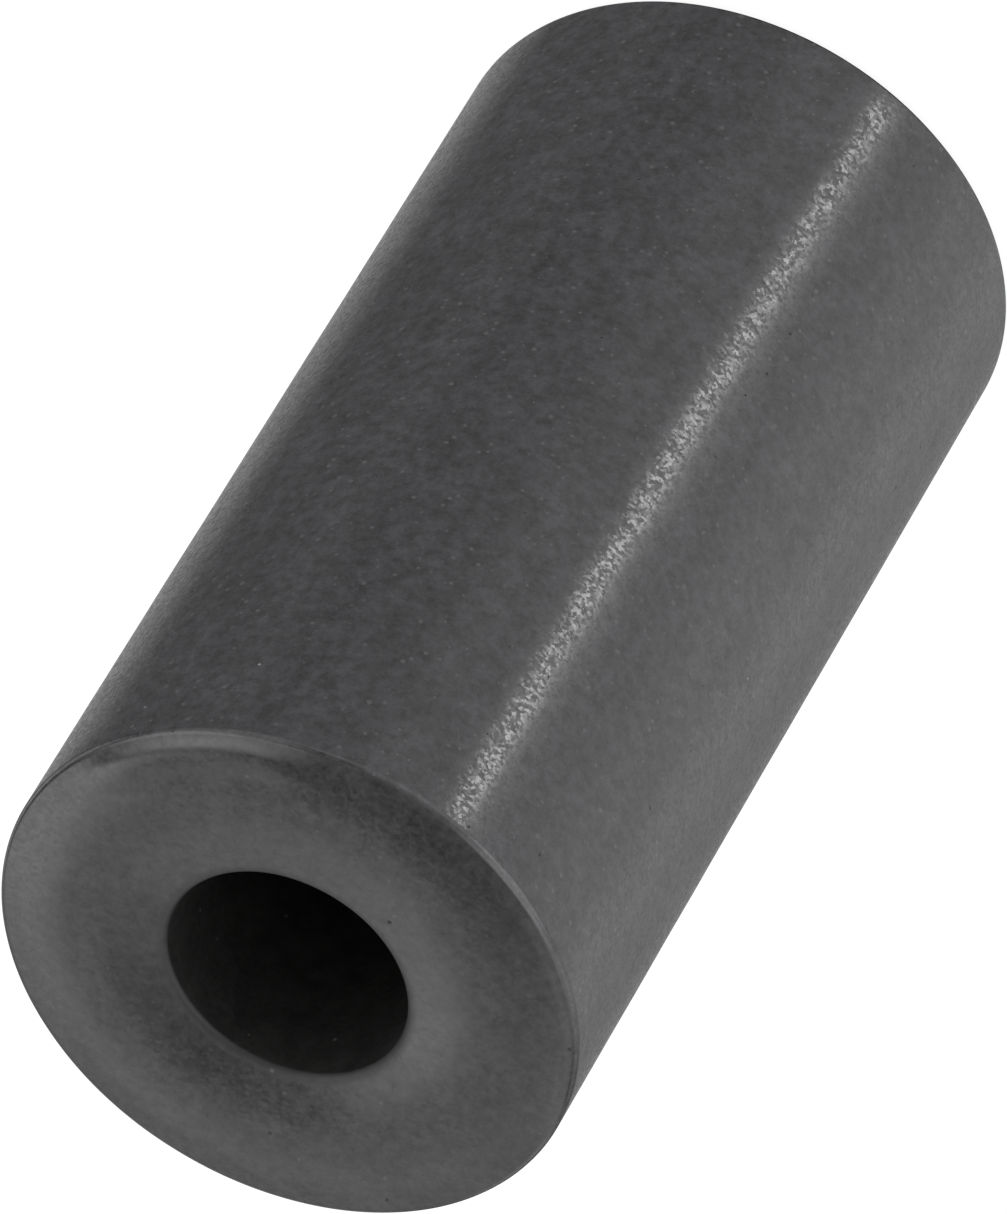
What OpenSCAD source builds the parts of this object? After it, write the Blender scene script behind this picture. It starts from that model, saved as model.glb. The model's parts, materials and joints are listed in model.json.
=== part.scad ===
// Ferrite sleeve core for suppressing noise on a cable.
// One pressed and sintered piece: a thick-walled tube with a through bore.
// Both ends are alike. Each has a flat land between two sloping bands, as the press punch
// leaves it, with a rounded lip at the bore and a small tumbled edge at the rim.
// The core stands on one end: +Z runs along the bore, and Z = 0 is the lower land.

/* [Body] */
// Outside diameter of the sleeve
outer_d = 14.2; // [10:0.1:20]
// Diameter of the cable bore
bore_d = 5.9; // [3:0.1:6.4]
// Length from land to land
core_length = 28.5; // [12:0.5:60]

/* [Rim of each end] */
// Width of the sloping band next to the rim, across the face
rim_band_w = 1.8; // [1.3:0.05:1.85]
// Slope of that band below the land, in degrees
rim_band_slope = 10; // [4:1:20]
// Width over which the land bends into that slope
rim_bend_w = 1.2; // [0.2:0.05:1.2]
// Radius of the tumbled corner between the band and the side
rim_corner_r = 0.06; // [0.02:0.01:0.08]

/* [Bore mouth of each end] */
// Width of the sloping band next to the bore, across the face
bore_band_w = 1.9; // [1.35:0.05:1.9]
// Slope of that band below the land, in degrees
bore_band_slope = 7; // [3:1:15]
// Width over which the land bends into that slope
bore_bend_w = 1.1; // [0.2:0.05:1.1]
// Radius of the lip that rolls over into the bore
bore_lip_r = 0.18; // [0.05:0.01:0.2]

/* [Hidden] */
outer_r = outer_d / 2;
bore_r = bore_d / 2;
wall_w = outer_r - bore_r;
land_min_w = 0.5;
// A wall too thin for both bands and the least land shrinks the bands, slopes kept
band_fit = min(1, (wall_w - land_min_w) / (rim_band_w + bore_band_w));
bend_steps = 4; // straight steps along each gentle bend
corner_steps = 4; // straight steps round each small corner
round_fn = 96;
ferrite_grey = [0.29, 0.29, 0.295];

// Points on an arc of radius r about [x, z], from angle a to angle b
function arc(x, z, r, a, b, steps) =
    [for (i = [0:steps]) let (t = a + (b - a) * i / steps) [x + r * cos(t), z + r * sin(t)]];

// One sloping band with its bend and its corner, as [distance out from the land, height].
// The land is at height 0 and the side or the bore stands at distance w.
function band(w, slope, bend_w, corner_r) =
    let (
        bend_r = bend_w / sin(slope),
        bend_drop = bend_r * (1 - cos(slope)),
        corner_x = w - corner_r,
        straight_w = corner_x + corner_r * sin(slope) - bend_w,
        corner_z = -bend_drop - straight_w * tan(slope) - corner_r * cos(slope)
    )
    concat(
        arc(0, -bend_r, bend_r, 90, 90 - slope, bend_steps),
        arc(corner_x, corner_z, corner_r, 90 - slope, 0, corner_steps)
    );

rim_band = band_fit * band(rim_band_w, rim_band_slope, rim_bend_w, rim_corner_r);
bore_band = band_fit * band(bore_band_w, bore_band_slope, bore_bend_w, bore_lip_r);
land_outer_r = outer_r - band_fit * rim_band_w;
land_inner_r = bore_r + band_fit * bore_band_w;

// The upper end's edge from the bore wall across the land to the side, at height top
function upper_end(top) = concat(
    [for (i = [len(bore_band) - 1:-1:0]) [land_inner_r - bore_band[i][0], top + bore_band[i][1]]],
    [for (q = rim_band) [land_outer_r + q[0], top + q[1]]]
);

// The lower end is the upper one turned over, and runs back from the side to the bore
function lower_end() =
    let (e = upper_end(0)) [for (i = [len(e) - 1:-1:0]) [e[i][0], -e[i][1]]];

// Section of the wall, revolved about the bore's axis
module ferrite_core() {
    color(ferrite_grey)
        rotate_extrude($fn = round_fn)
            polygon(concat(upper_end(core_length), lower_end()));
}

ferrite_core();
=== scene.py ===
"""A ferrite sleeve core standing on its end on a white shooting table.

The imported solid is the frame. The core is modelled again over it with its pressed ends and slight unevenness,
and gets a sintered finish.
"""

import json
import math

import bpy
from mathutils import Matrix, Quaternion, Vector

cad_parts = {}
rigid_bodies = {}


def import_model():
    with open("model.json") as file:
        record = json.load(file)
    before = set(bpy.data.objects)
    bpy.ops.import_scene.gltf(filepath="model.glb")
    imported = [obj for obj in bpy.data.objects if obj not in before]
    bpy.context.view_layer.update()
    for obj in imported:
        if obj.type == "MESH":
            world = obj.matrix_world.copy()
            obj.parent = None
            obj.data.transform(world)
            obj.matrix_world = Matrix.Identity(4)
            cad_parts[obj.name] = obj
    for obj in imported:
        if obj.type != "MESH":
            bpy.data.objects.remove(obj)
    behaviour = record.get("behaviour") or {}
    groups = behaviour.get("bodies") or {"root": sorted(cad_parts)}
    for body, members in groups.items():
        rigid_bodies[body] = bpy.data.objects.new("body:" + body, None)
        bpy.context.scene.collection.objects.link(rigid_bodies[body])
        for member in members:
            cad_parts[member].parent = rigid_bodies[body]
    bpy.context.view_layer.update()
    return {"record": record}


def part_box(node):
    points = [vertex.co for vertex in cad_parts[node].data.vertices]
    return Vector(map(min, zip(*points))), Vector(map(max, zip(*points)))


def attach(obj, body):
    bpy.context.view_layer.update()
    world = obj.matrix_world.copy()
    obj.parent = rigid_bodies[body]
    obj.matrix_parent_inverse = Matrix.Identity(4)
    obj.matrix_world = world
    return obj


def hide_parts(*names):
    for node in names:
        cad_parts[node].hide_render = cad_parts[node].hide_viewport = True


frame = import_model()

MM = 0.001
NODE = "ferrite_core"
BODY = "root"
BORE_R = next(mount["dims"]["r_mm"] for mount in frame["record"]["mounts"] if mount["name"] == "bore") * MM

# The photograph's frame, and the camera that sees the core as the photograph does
FRAME_LONG_SIDE_PX = 1214
FOCAL_PX = 16547.5
SENSOR_MM = 36.0
CAMERA_AT_MM = (0.0, -276.17, 285.46)
CAMERA_AIM_MM = (0.095, 0.0, 14.688)
CAMERA_ROLL_DEG = -148.88

# Each end: the land bends into a sloping band towards the rim and another towards the bore
RIM_BAND_W = 1.80 * MM
RIM_SLOPE_DEG = 8.5
RIM_BEND_W = 1.20 * MM
RIM_CORNER = (0.15 * MM, 0.15 * MM)
BORE_BAND_W = 1.90 * MM
BORE_SLOPE_DEG = 6.0
BORE_BEND_W = 1.1 * MM
BORE_LIP = (0.18 * MM, 0.18 * MM)

# How finely the core's mesh is divided
AROUND = 360
BEND_STEPS = 7
BAND_STEPS = 6
CORNER_STEPS = 9
SIDE_STEPS = 44
BORE_STEPS = 20

# A stretch of the upper rim where the band stays high and then rolls off in a round edge
ROLLED = {"from_deg": 10.0, "to_deg": 76.0, "ease_deg": 18.0}
ROLLED_START = 1.4 * MM
ROLLED_TOP = 0.50 * MM
ROLLED_END = 0.06 * MM
ROLLED_HEIGHT = 0.082 * MM

# The stretch of the upper rim that tumbling has worn rounder
WORN = {"from_deg": -95.0, "to_deg": 20.0, "ease_deg": 22.0}
WORN_W = 0.45 * MM
WORN_DEPTH = 0.14 * MM
CORNER_REACH = 0.6 * MM

# Slight hollows of the pressed surface, inwards only
UNEVEN_DEPTH = 0.012 * MM
UNEVEN_SIZE = 2.6 * MM


def deselect_all():
    """Nothing is selected, so that an operator acts only on what is added next."""
    for obj in bpy.context.view_layer.objects:
        obj.select_set(False)


def direction(azimuth_deg, elevation_deg):
    """Unit vector for an azimuth counted anticlockwise from the camera's side, seen from above."""
    turn = math.radians(azimuth_deg - 90)
    rise = math.radians(elevation_deg)
    return Vector((math.cos(turn) * math.cos(rise), math.sin(turn) * math.cos(rise), math.sin(rise)))


# The core's mesh


def arc(x, z, radius, start_deg, end_deg, steps):
    """Points on an arc about (x, z)."""
    points = []
    for i in range(steps + 1):
        angle = math.radians(start_deg + (end_deg - start_deg) * i / steps)
        points.append((x + radius * math.cos(angle), z + radius * math.sin(angle)))
    return points


def band(width, slope_deg, bend_w, corner):
    """One sloping band as (distance out from the land, height above it), out to the upright wall.

    Its corner is an arc squeezed to a width and a depth.
    """
    slope = math.radians(slope_deg)
    bend_r = bend_w / math.sin(slope)
    bend = arc(0, -bend_r, bend_r, 90, 90 - slope_deg, BEND_STEPS)
    corner_w, corner_drop = corner
    start = math.degrees(math.atan2(corner_drop, corner_w * math.tan(slope)))
    round_x = corner_w * math.cos(math.radians(start))
    round_z = corner_drop * math.sin(math.radians(start))
    x0, z0 = bend[-1]
    x1 = width - corner_w + round_x
    z1 = z0 - (x1 - x0) * math.tan(slope)
    straight = [(x0 + (x1 - x0) * i / BAND_STEPS, z0 + (z1 - z0) * i / BAND_STEPS) for i in range(1, BAND_STEPS)]
    turn = arc(0, 0, 1, start, 0, CORNER_STEPS)
    rolled = [(width - corner_w + corner_w * x, z1 - round_z + corner_drop * z) for x, z in turn]
    return bend + straight + rolled


def core_section():
    """The wall's closed section as (radius, height), from the upper end out, down, and up the bore."""
    low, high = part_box(NODE)
    outer_r = high.x
    length = high.z - low.z
    rim = band(RIM_BAND_W, RIM_SLOPE_DEG, RIM_BEND_W, RIM_CORNER)
    mouth = band(BORE_BAND_W, BORE_SLOPE_DEG, BORE_BEND_W, BORE_LIP)
    upper = [(BORE_R + BORE_BAND_W - x, length + z) for x, z in reversed(mouth)]
    upper += [(outer_r - RIM_BAND_W + x, length + z) for x, z in rim]
    lower = [(r, length - z) for r, z in reversed(upper)]
    side_top, side_low = upper[-1][1], lower[0][1]
    bore_low, bore_top = lower[-1][1], upper[0][1]
    side = [(outer_r, side_top + (side_low - side_top) * i / SIDE_STEPS) for i in range(1, SIDE_STEPS)]
    bore = [(BORE_R, bore_low + (bore_top - bore_low) * i / BORE_STEPS) for i in range(1, BORE_STEPS)]
    return upper + side + lower + bore


def revolve(section):
    """A ring of edges drawn along the section and closed on itself."""
    deselect_all()
    radius, height = section[0]
    bpy.ops.mesh.primitive_circle_add(vertices=AROUND, radius=radius, fill_type="NOTHING", location=(0, 0, height))
    core = bpy.context.object
    bpy.ops.object.transform_apply(location=True, rotation=True, scale=True)
    bpy.ops.object.mode_set(mode="EDIT")
    bpy.ops.mesh.select_all(action="SELECT")
    for next_radius, next_height in section[1:] + section[:1]:
        grow = next_radius / radius
        bpy.ops.mesh.extrude_region_move(TRANSFORM_OT_translate={"value": (0, 0, next_height - height)})
        bpy.ops.transform.resize(value=(grow, grow, 1), center_override=(0, 0, next_height))
        radius, height = next_radius, next_height
    bpy.ops.mesh.select_all(action="SELECT")
    bpy.ops.mesh.remove_doubles(threshold=0.001 * MM)
    bpy.ops.mesh.normals_make_consistent(inside=False)
    bpy.ops.object.mode_set(mode="OBJECT")
    return core


def make_uneven(core):
    """Pushes the skin in by a few hundredths of a millimetre, in soft patches."""
    patches = bpy.data.textures.new("pressed_unevenness", "CLOUDS")
    patches.noise_scale = UNEVEN_SIZE
    patches.noise_depth = 1
    hollows = core.modifiers.new("unevenness", "DISPLACE")
    hollows.texture = patches
    hollows.texture_coords = "LOCAL"
    hollows.mid_level = 1.0
    hollows.strength = UNEVEN_DEPTH
    bpy.ops.object.modifier_apply(modifier=hollows.name)


def ease(share):
    """A smooth step from 0 to 1."""
    share = min(1.0, max(0.0, share))
    return share * share * (3 - 2 * share)


def along_rim(azimuth, stretch):
    """1 within a stretch of the rim, easing to 0 at its two ends."""
    begun = ease((azimuth - stretch["from_deg"]) / stretch["ease_deg"])
    left = ease((stretch["to_deg"] - azimuth) / stretch["ease_deg"])
    return begun * left


def rolled_weight(azimuth, inside):
    rise = ease((ROLLED_START - inside) / (ROLLED_START - ROLLED_TOP))
    fall = ease((inside - ROLLED_END) / (ROLLED_TOP - ROLLED_END))
    return along_rim(azimuth, ROLLED) * rise * fall


def worn_weight(azimuth, inside):
    return along_rim(azimuth, WORN) * max(0.0, 1 - inside / WORN_W) ** 2


def shift_rim(core, name, height, weight_at):
    """Raises or lowers the upper end near its rim, by a weight for each azimuth and distance in from the side."""
    low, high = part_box(NODE)
    area = core.vertex_groups.new(name=name)
    for vertex in core.data.vertices:
        x, y, z = vertex.co
        azimuth = (math.degrees(math.atan2(y, x)) + 270) % 360 - 180
        below = high.z - z
        weight = weight_at(azimuth, high.x - math.hypot(x, y))
        if weight > 0 and below < CORNER_REACH:
            area.add([vertex.index], weight, "REPLACE")
    shift = core.modifiers.new(name, "DISPLACE")
    shift.direction = "Z"
    shift.mid_level = 0.0
    shift.strength = height
    shift.vertex_group = area.name
    bpy.ops.object.modifier_apply(modifier=shift.name)
    core.vertex_groups.remove(core.vertex_groups[name])


def build_core():
    core = revolve(core_section())
    core.name = "ferrite_sleeve"
    shift_rim(core, "rolled_rim", ROLLED_HEIGHT, rolled_weight)
    shift_rim(core, "worn_rim", -WORN_DEPTH, worn_weight)
    make_uneven(core)
    bpy.ops.object.shade_smooth()
    return core


# Shader nodes


def add(tree, kind, **settings):
    """A new node with its settings."""
    node = tree.nodes.new(kind)
    for name, value in settings.items():
        setattr(node, name, value)
    return node


def feed(tree, socket, value):
    """Links a socket to an output, or sets its plain value."""
    if isinstance(value, bpy.types.NodeSocket):
        tree.links.new(value, socket)
    else:
        socket.default_value = value


def calc(tree, operation, a, b=0.0, clamp=False):
    """The result of a Math node."""
    node = add(tree, "ShaderNodeMath", operation=operation, use_clamp=clamp)
    feed(tree, node.inputs[0], a)
    feed(tree, node.inputs[1], b)
    return node.outputs[0]


def vector_calc(tree, operation, a, b=None, scale=None):
    """The result of a Vector Math node."""
    node = add(tree, "ShaderNodeVectorMath", operation=operation)
    feed(tree, node.inputs[0], a)
    if b is not None:
        feed(tree, node.inputs[1], b)
    if scale is not None:
        feed(tree, node.inputs["Scale"], scale)
    return node.outputs["Value" if operation == "DOT_PRODUCT" else "Vector"]


def ramp(tree, value, low, high, to_low=0.0, to_high=1.0, smooth=True):
    """The value carried from one range to another, and held at its ends."""
    node = add(tree, "ShaderNodeMapRange", interpolation_type="SMOOTHSTEP" if smooth else "LINEAR")
    feed(tree, node.inputs["Value"], value)
    feed(tree, node.inputs["From Min"], low)
    feed(tree, node.inputs["From Max"], high)
    feed(tree, node.inputs["To Min"], to_low)
    feed(tree, node.inputs["To Max"], to_high)
    return node.outputs["Result"]


def place_at(tree, size):
    """Object coordinates counted in steps of a size."""
    coordinates = add(tree, "ShaderNodeTexCoord")
    return vector_calc(tree, "SCALE", coordinates.outputs["Object"], scale=calc(tree, "DIVIDE", 1.0, size))


def new_group(name, inputs, outputs):
    """An empty shader node group with named sockets. Returns it with its two end nodes."""
    group = bpy.data.node_groups.new(name, "ShaderNodeTree")
    for label, default in inputs.items():
        socket = group.interface.new_socket(name=label, in_out="INPUT", socket_type="NodeSocketFloat")
        socket.default_value = default
    for label, kind in outputs.items():
        group.interface.new_socket(name=label, in_out="OUTPUT", socket_type=kind)
    return group, add(group, "NodeGroupInput"), add(group, "NodeGroupOutput")


def grain_group():
    """Sintered grains. Each has its own gloss and small tilt, so that it glints or not. Their tone changes softly."""
    inputs = {"Grain Size": 0.00012, "Tilt": 0.08, "Patch Size": 0.0004, "Patch Tilt": 0.03, "Tone Size": 0.00008}
    outputs = {"Normal": "NodeSocketVector", "Tone": "NodeSocketFloat", "Dullness": "NodeSocketFloat"}
    group, given, out = new_group("sintered_grain", inputs, outputs)
    half = (0.5, 0.5, 0.5)
    grains = add(group, "ShaderNodeTexVoronoi", feature="SMOOTH_F1")
    grains.inputs["Smoothness"].default_value = GRAIN_SOFTNESS
    feed(group, grains.inputs["Vector"], place_at(group, given.outputs["Grain Size"]))
    grains.inputs["Scale"].default_value = 1.0
    channels = add(group, "ShaderNodeSeparateColor")
    feed(group, channels.inputs["Color"], grains.outputs["Color"])
    feed(group, out.inputs["Dullness"], channels.outputs["Red"])
    lean = vector_calc(group, "SUBTRACT", grains.outputs["Color"], half)
    lean = vector_calc(group, "SCALE", lean, scale=given.outputs["Tilt"])
    patches = add(group, "ShaderNodeTexNoise")
    feed(group, patches.inputs["Vector"], place_at(group, given.outputs["Patch Size"]))
    patches.inputs["Scale"].default_value = 1.0
    patches.inputs["Detail"].default_value = 2.0
    sway = vector_calc(group, "SUBTRACT", patches.outputs["Color"], half)
    sway = vector_calc(group, "SCALE", sway, scale=given.outputs["Patch Tilt"])
    surface = add(group, "ShaderNodeNewGeometry")
    tilted = vector_calc(group, "ADD", surface.outputs["Normal"], lean)
    tilted = vector_calc(group, "ADD", tilted, sway)
    feed(group, out.inputs["Normal"], vector_calc(group, "NORMALIZE", tilted))
    tones = add(group, "ShaderNodeTexNoise")
    feed(group, tones.inputs["Vector"], place_at(group, given.outputs["Tone Size"]))
    tones.inputs["Scale"].default_value = 1.0
    tones.inputs["Detail"].default_value = TONE_DETAIL
    tones.inputs["Roughness"].default_value = TONE_GAIN
    feed(group, out.inputs["Tone"], ramp(group, tones.outputs["Fac"], 0.35, 0.65, smooth=False))
    return group


def mottle_group():
    """Broad soft patches of light and dark, from 0 to 1."""
    group, given, out = new_group("mottle", {"Size": 0.002, "Detail": 3.0}, {"Value": "NodeSocketFloat"})
    cloud = add(group, "ShaderNodeTexNoise")
    feed(group, cloud.inputs["Vector"], place_at(group, given.outputs["Size"]))
    cloud.inputs["Scale"].default_value = 1.0
    feed(group, cloud.inputs["Detail"], given.outputs["Detail"])
    feed(group, out.inputs["Value"], ramp(group, cloud.outputs["Fac"], 0.3, 0.7, smooth=False))
    return group


def speck_group():
    """Scattered small spots, such as pits or dust: 1 in a spot and 0 between them."""
    inputs = {"Spacing": 0.001, "Radius": 0.00005, "Share": 0.5}
    group, given, out = new_group("specks", inputs, {"Mask": "NodeSocketFloat"})
    cells = add(group, "ShaderNodeTexVoronoi", feature="F1")
    feed(group, cells.inputs["Vector"], place_at(group, given.outputs["Spacing"]))
    cells.inputs["Scale"].default_value = 1.0
    distance = calc(group, "MULTIPLY", cells.outputs["Distance"], given.outputs["Spacing"])
    channels = add(group, "ShaderNodeSeparateColor")
    feed(group, channels.inputs["Color"], cells.outputs["Color"])
    reach = calc(group, "MULTIPLY", given.outputs["Radius"], calc(group, "ADD", channels.outputs["Green"], 0.5))
    inside = calc(group, "SUBTRACT", 1.0, ramp(group, distance, calc(group, "MULTIPLY", reach, 0.4), reach))
    present = calc(group, "LESS_THAN", channels.outputs["Red"], given.outputs["Share"])
    feed(group, out.inputs["Mask"], calc(group, "MULTIPLY", inside, present))
    return group


def mouth_shade_and_dullness_group():
    """The zone round the bore's mouth whose colour gets painted shade and whose gloss is dulled: 1 at the bore's
    wall, fading to 0 at a width from it.
    """
    group, given, out = new_group("mouth_painted_shade_and_dullness", {"Width": 0.0004}, {"Mask": "NodeSocketFloat"})
    coordinates = add(group, "ShaderNodeTexCoord")
    flat = vector_calc(group, "MULTIPLY", coordinates.outputs["Object"], (1, 1, 0))
    length = add(group, "ShaderNodeVectorMath", operation="LENGTH")
    feed(group, length.inputs[0], flat)
    outside = calc(group, "DIVIDE", calc(group, "SUBTRACT", length.outputs["Value"], BORE_R), given.outputs["Width"])
    feed(group, out.inputs["Mask"], ramp(group, outside, 0.0, 1.0, 1.0, 0.0))
    return group


def place_group(tree, group, **values):
    """A group in a material with its own values. Underscores stand for spaces."""
    node = add(tree, "ShaderNodeGroup", node_tree=group)
    for name, value in values.items():
        node.inputs[name.replace("_", " ")].default_value = value
    return node


def mix_colour(tree, share, a, b, blend="MIX"):
    """One colour blended over another."""
    node = add(tree, "ShaderNodeMix", data_type="RGBA", blend_type=blend)
    feed(tree, node.inputs[0], share)
    feed(tree, node.inputs[6], a)
    feed(tree, node.inputs[7], b)
    return node.outputs[2]


def ferrite_material(name, base, gloss, ior, contrast, grain, mottle, pits, glints, dust):
    """Sintered ferrite. The finishes differ in colour, gloss, grain, mottling, pits, bright grains and dust. Round
    the bore's mouth each darkens its colour with painted shade and dulls its gloss.
    """
    material = bpy.data.materials.new(name)
    material.use_nodes = True
    tree = material.node_tree
    shader = next(n for n in tree.nodes if n.type == "BSDF_PRINCIPLED")
    shader.inputs["IOR"].default_value = ior
    grains = place_group(tree, GRAIN, **grain)
    cloud = place_group(tree, MOTTLE, **mottle)
    holes = place_group(tree, SPECKS, **pits)
    bright = place_group(tree, SPECKS, **glints)
    motes = place_group(tree, SPECKS, **dust)
    mouth = place_group(tree, MOUTH_SHADE_AND_DULLNESS, Width=MOUTH_SHADE_W)
    darker = tuple(c * (1 - MOTTLE_CONTRAST) for c in base)
    lighter = tuple(c * (1 + MOTTLE_CONTRAST) for c in base)
    colour = mix_colour(tree, cloud.outputs["Value"], (*darker, 1), (*lighter, 1))
    tone = ramp(tree, grains.outputs["Tone"], 0.0, 1.0, 1 - contrast, 1 + contrast, smooth=False)
    colour = mix_colour(tree, 1.0, colour, tone, "MULTIPLY")
    # Painted shade: the colour is darkened towards the bore's mouth, where the lip turns down into the dark bore
    mouth_shade_factor = ramp(tree, mouth.outputs["Mask"], 0.0, 1.0, 1.0, 1 - MOUTH_PAINTED_SHADE, smooth=False)
    colour = mix_colour(tree, 1.0, colour, mouth_shade_factor, "MULTIPLY")
    colour = mix_colour(tree, bright.outputs["Mask"], colour, BRIGHT_GRAIN)
    colour = mix_colour(tree, holes.outputs["Mask"], colour, PIT_BLACK)
    colour = mix_colour(tree, motes.outputs["Mask"], colour, DUST_WHITE)
    feed(tree, shader.inputs["Base Color"], colour)
    roughness = ramp(tree, grains.outputs["Dullness"], 0.15, 0.85, *gloss, smooth=False)
    for mask, dullness in ((holes.outputs["Mask"], PIT_DULLNESS), (mouth.outputs["Mask"], MOUTH_DULLNESS)):
        rougher = calc(tree, "MULTIPLY", calc(tree, "SUBTRACT", dullness, roughness), mask)
        roughness = calc(tree, "ADD", roughness, rougher)
    feed(tree, shader.inputs["Roughness"], roughness)
    dent = add(tree, "ShaderNodeBump")
    dent.inputs["Strength"].default_value = 1.0
    dent.inputs["Distance"].default_value = 0.03 * MM
    feed(tree, dent.inputs["Height"], calc(tree, "SUBTRACT", 1.0, holes.outputs["Mask"]))
    feed(tree, dent.inputs["Normal"], grains.outputs["Normal"])
    feed(tree, shader.inputs["Normal"], dent.outputs["Normal"])
    return material


MOTTLE_CONTRAST = 0.14
GRAIN_SOFTNESS = 0.35
TONE_DETAIL = 4.0
TONE_GAIN = 0.80
# The zone round the bore's mouth: its width, its duller gloss, and how far painted shade darkens its colour there
MOUTH_SHADE_W = 0.34 * MM
MOUTH_DULLNESS = 0.62
MOUTH_PAINTED_SHADE = 0.66
BRIGHT_GRAIN = (0.115, 0.115, 0.120, 1)
PIT_DULLNESS = 0.6
PIT_BLACK = (0.012, 0.012, 0.012, 1)
DUST_WHITE = (0.45, 0.45, 0.43, 1)
GRAIN = grain_group()
MOTTLE = mottle_group()
SPECKS = speck_group()
MOUTH_SHADE_AND_DULLNESS = mouth_shade_and_dullness_group()


def ferrite_finishes():
    """The tumbled side, the pressed ends and the unlit bore, in the order of the material slots."""
    side = ferrite_material(
        "ferrite_side", (0.0545, 0.0545, 0.0595), (0.16, 0.34), 1.85, 0.46,
        grain={"Grain_Size": 0.080 * MM, "Tilt": 0.034, "Patch_Size": 0.35 * MM, "Patch_Tilt": 0.035,
               "Tone_Size": 0.36 * MM},
        mottle={"Size": 1.6 * MM, "Detail": 2.0},
        pits={"Spacing": 0.6 * MM, "Radius": 0.035 * MM, "Share": 0.40},
        glints={"Spacing": 0.30 * MM, "Radius": 0.060 * MM, "Share": 0.75},
        dust={"Spacing": 1.9 * MM, "Radius": 0.030 * MM, "Share": 0.20},
    )
    end = ferrite_material(
        "ferrite_end", (0.058, 0.058, 0.0575), (0.20, 0.28), 1.85, 0.32,
        grain={"Grain_Size": 0.10 * MM, "Tilt": 0.018, "Patch_Size": 0.35 * MM, "Patch_Tilt": 0.045,
               "Tone_Size": 0.26 * MM},
        mottle={"Size": 1.6 * MM, "Detail": 2.0},
        pits={"Spacing": 0.8 * MM, "Radius": 0.055 * MM, "Share": 0.35},
        glints={"Spacing": 0.5 * MM, "Radius": 0.050 * MM, "Share": 0.30},
        dust={"Spacing": 2.2 * MM, "Radius": 0.040 * MM, "Share": 0.20},
    )
    bore = ferrite_material(
        "ferrite_bore", (0.064, 0.060, 0.057), (0.45, 0.55), 1.60, 0.40,
        grain={"Grain_Size": 0.11 * MM, "Tilt": 0.12, "Patch_Size": 0.35 * MM, "Patch_Tilt": 0.05,
               "Tone_Size": 0.55 * MM},
        mottle={"Size": 1.6 * MM, "Detail": 2.0},
        pits={"Spacing": 0.7 * MM, "Radius": 0.040 * MM, "Share": 0.30},
        glints={"Spacing": 0.6 * MM, "Radius": 0.050 * MM, "Share": 0.20},
        dust={"Spacing": 2.5 * MM, "Radius": 0.030 * MM, "Share": 0.20},
    )
    return [side, end, bore]


def dress(core):
    """Gives each face the finish of its surface, told by its place."""
    for material in ferrite_finishes():
        core.data.materials.append(material)
    low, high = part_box(NODE)
    for face in core.data.polygons:
        radius = math.hypot(face.center.x, face.center.y)
        if radius > high.x - RIM_CORNER[0] * 0.5:
            face.material_index = 0
        elif radius > BORE_R + UNEVEN_DEPTH * 1.5:
            face.material_index = 1
        else:
            face.material_index = 2


# The camera, the table and the light


def add_camera():
    at = Vector(CAMERA_AT_MM) * MM
    aim = Vector(CAMERA_AIM_MM) * MM
    data = bpy.data.cameras.new("camera")
    data.sensor_width = SENSOR_MM
    data.sensor_fit = "AUTO"
    data.lens = SENSOR_MM * FOCAL_PX / FRAME_LONG_SIDE_PX
    data.clip_start = 0.01
    data.clip_end = 10.0
    camera = bpy.data.objects.new("camera", data)
    bpy.context.scene.collection.objects.link(camera)
    camera.location = at
    camera.rotation_mode = "QUATERNION"
    upright = (aim - at).to_track_quat("-Z", "Y")
    camera.rotation_quaternion = upright @ Quaternion((0, 0, 1), math.radians(CAMERA_ROLL_DEG))
    bpy.context.scene.camera = camera


TABLE_W = 3.0
TABLE_GAP = 0.02 * MM
TABLE_GLOW = 0.90
TABLE_SHADE = 0.35


def add_table():
    """A white translucent table. It shows the core's shadow, and the light under it passes through to the core."""
    deselect_all()
    bpy.ops.mesh.primitive_plane_add(size=TABLE_W, location=(0, 0, -TABLE_GAP))
    table = bpy.context.object
    table.name = "table"
    material = bpy.data.materials.new("table_white")
    material.use_nodes = True
    tree = material.node_tree
    tree.nodes.clear()
    glow = add(tree, "ShaderNodeEmission")
    glow.inputs["Strength"].default_value = TABLE_GLOW
    shade = add(tree, "ShaderNodeBsdfDiffuse")
    shade.inputs["Color"].default_value = (TABLE_SHADE, TABLE_SHADE, TABLE_SHADE, 1)
    both = add(tree, "ShaderNodeAddShader")
    feed(tree, both.inputs[0], glow.outputs[0])
    feed(tree, both.inputs[1], shade.outputs[0])
    out = add(tree, "ShaderNodeOutputMaterial")
    feed(tree, out.inputs["Surface"], both.outputs[0])
    table.data.materials.append(material)
    table.visible_diffuse = False
    table.visible_glossy = False
    table.visible_shadow = False


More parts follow.
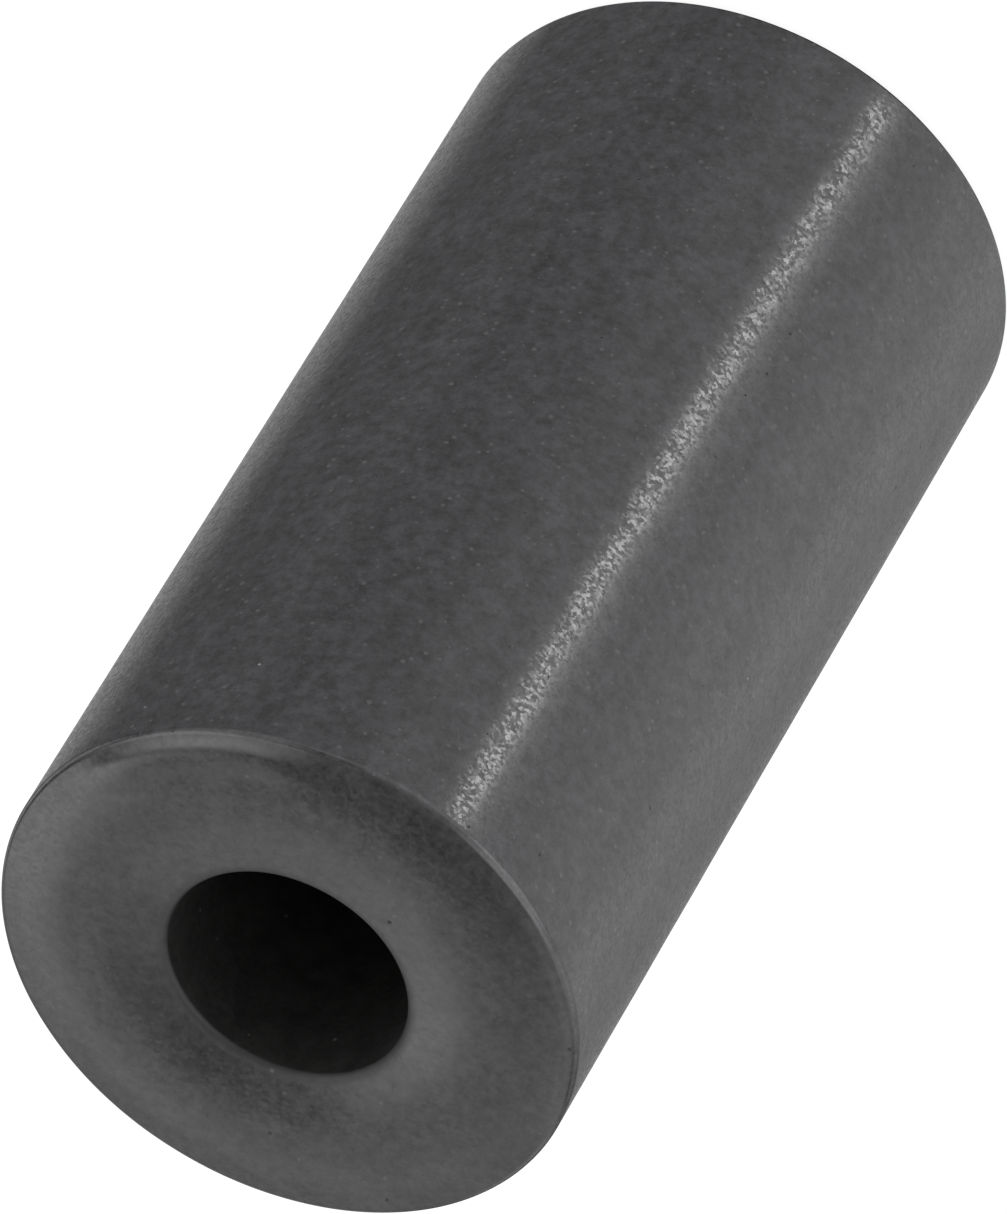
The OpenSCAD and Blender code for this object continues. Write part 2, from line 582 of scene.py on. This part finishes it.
# Soft panels of the studio that the gloss shows: azimuth and elevation from the core, soft radius in degrees,
# strength
PLAIN_LEVEL = 0.62
DIM_LEVEL = 0.0
PANELS = {
    "back_horizon": (180, 5, 20, 0.75),
    "back_step": (180, 34, 14, 0.65),
    "back_left": (160, 44, 14, 1.15),
    "back_left_step": (160, 30, 16, 0.50),
    "back_left_foot": (145, 0, 26, 0.70),
    "back_right": (-160, 44, 14, 0.35),
    "back_right_step": (-160, 30, 16, 0.20),
    "back_right_low": (-148, 20, 22, 0.65),
    "right_back": (-138, 42, 22, 0.35),
    "right_top": (-125, 66, 20, 0.10),
    "right_high": (-105, 45, 30, 0.45),
    "right_low": (-85, 20, 30, 0.65),
    "right_foot": (-100, -5, 30, 0.60),
    "left_top": (125, 66, 20, 0.75),
    "left_high": (100, 50, 26, 1.20),
    "left_foot": (70, 5, 30, 0.20),
    "front_right": (-50, 26, 30, 1.35),
    "front_left": (60, 30, 35, 0.66),
    "front_high": (0, 60, 35, 0.20),
    "front_middle": (0, 18, 30, 0.35),
    "rim_right_far": (-80, -10, 24, 0.40),
    "rim_right": (-50, -10, 26, 1.45),
    "rim_front_right": (-22, -12, 28, 0.70),
    "rim_front": (5, -8, 30, 0.40),
    "rim_front_left": (32, -8, 30, 0.45),
    "rim_left": (60, -12, 28, 0.30),
    "rim_left_far": (115, 0, 30, 0.80),
    "rim_right_back": (-140, 0, 26, 0.40),
    "under_back_right": (-165, -44, 30, 0.17),
    "under_right_back": (-132, -44, 30, 0.22),
    "under_right": (-104, -44, 30, 0.33),
    "under_right_middle": (-80, -44, 30, 0.28),
    "under_right_front": (-52, -44, 30, 0.42),
    "under_front": (-12, -44, 30, 0.35),
    "under_left_front": (20, -44, 30, 0.21),
    "under_left": (55, -44, 30, 0.14),
    "under_left_far": (90, -44, 30, 0.17),
    "under_left_back": (125, -44, 30, 0.05),
    "under_back": (163, -44, 30, 0.40),
}
# Small lamps: azimuth, elevation, angular size in degrees, strength
LAMPS = {
    "glint_lamp": (-25.4, -44, 6.5, 0.054),
    "second_glint_lamp": (-108, -44, 24.0, 0.012),
}


def panel_field(tree):
    """How bright the room is in each direction, summed over its panels."""
    coordinates = add(tree, "ShaderNodeTexCoord")
    level = DIM_LEVEL
    for azimuth, elevation, radius, strength in PANELS.values():
        facing = vector_calc(tree, "DOT_PRODUCT", coordinates.outputs["Generated"], direction(azimuth, elevation))
        patch = ramp(tree, facing, math.cos(math.radians(radius)), 1.0, 0.0, strength)
        level = calc(tree, "ADD", patch, level)
    return level


def add_room():
    """The white backdrop, whole to the camera and through glass. Gloss shows it as panels among darker screens,
    and everything else gets a plain even light."""
    world = bpy.data.worlds.new("studio")
    bpy.context.scene.world = world
    world.use_nodes = True
    world.cycles.sampling_method = "NONE"
    tree = world.node_tree
    tree.nodes.clear()
    path = add(tree, "ShaderNodeLightPath")
    whole = calc(tree, "ADD", path.outputs["Is Camera Ray"], path.outputs["Is Transmission Ray"], clamp=True)
    glossy = calc(tree, "MULTIPLY", path.outputs["Is Glossy Ray"], panel_field(tree))
    plain = calc(tree, "MULTIPLY", path.outputs["Is Diffuse Ray"], PLAIN_LEVEL)
    level = calc(tree, "ADD", calc(tree, "ADD", glossy, plain), whole)
    backdrop = add(tree, "ShaderNodeBackground")
    backdrop.inputs["Color"].default_value = (1, 1, 1, 1)
    feed(tree, backdrop.inputs["Strength"], level)
    out = add(tree, "ShaderNodeOutputWorld")
    feed(tree, out.inputs["Surface"], backdrop.outputs[0])


def add_lamps():
    for name, (azimuth, elevation, size, strength) in LAMPS.items():
        data = bpy.data.lights.new(name, "SUN")
        data.energy = strength
        data.angle = math.radians(size)
        lamp = bpy.data.objects.new(name, data)
        bpy.context.scene.collection.objects.link(lamp)
        lamp.rotation_mode = "QUATERNION"
        lamp.rotation_quaternion = direction(azimuth, elevation).to_track_quat("Z", "Y")


add_camera()
add_table()
add_room()
add_lamps()

core = build_core()
dress(core)
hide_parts(NODE)
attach(core, BODY)

bpy.context.scene.view_settings.view_transform = "Standard"
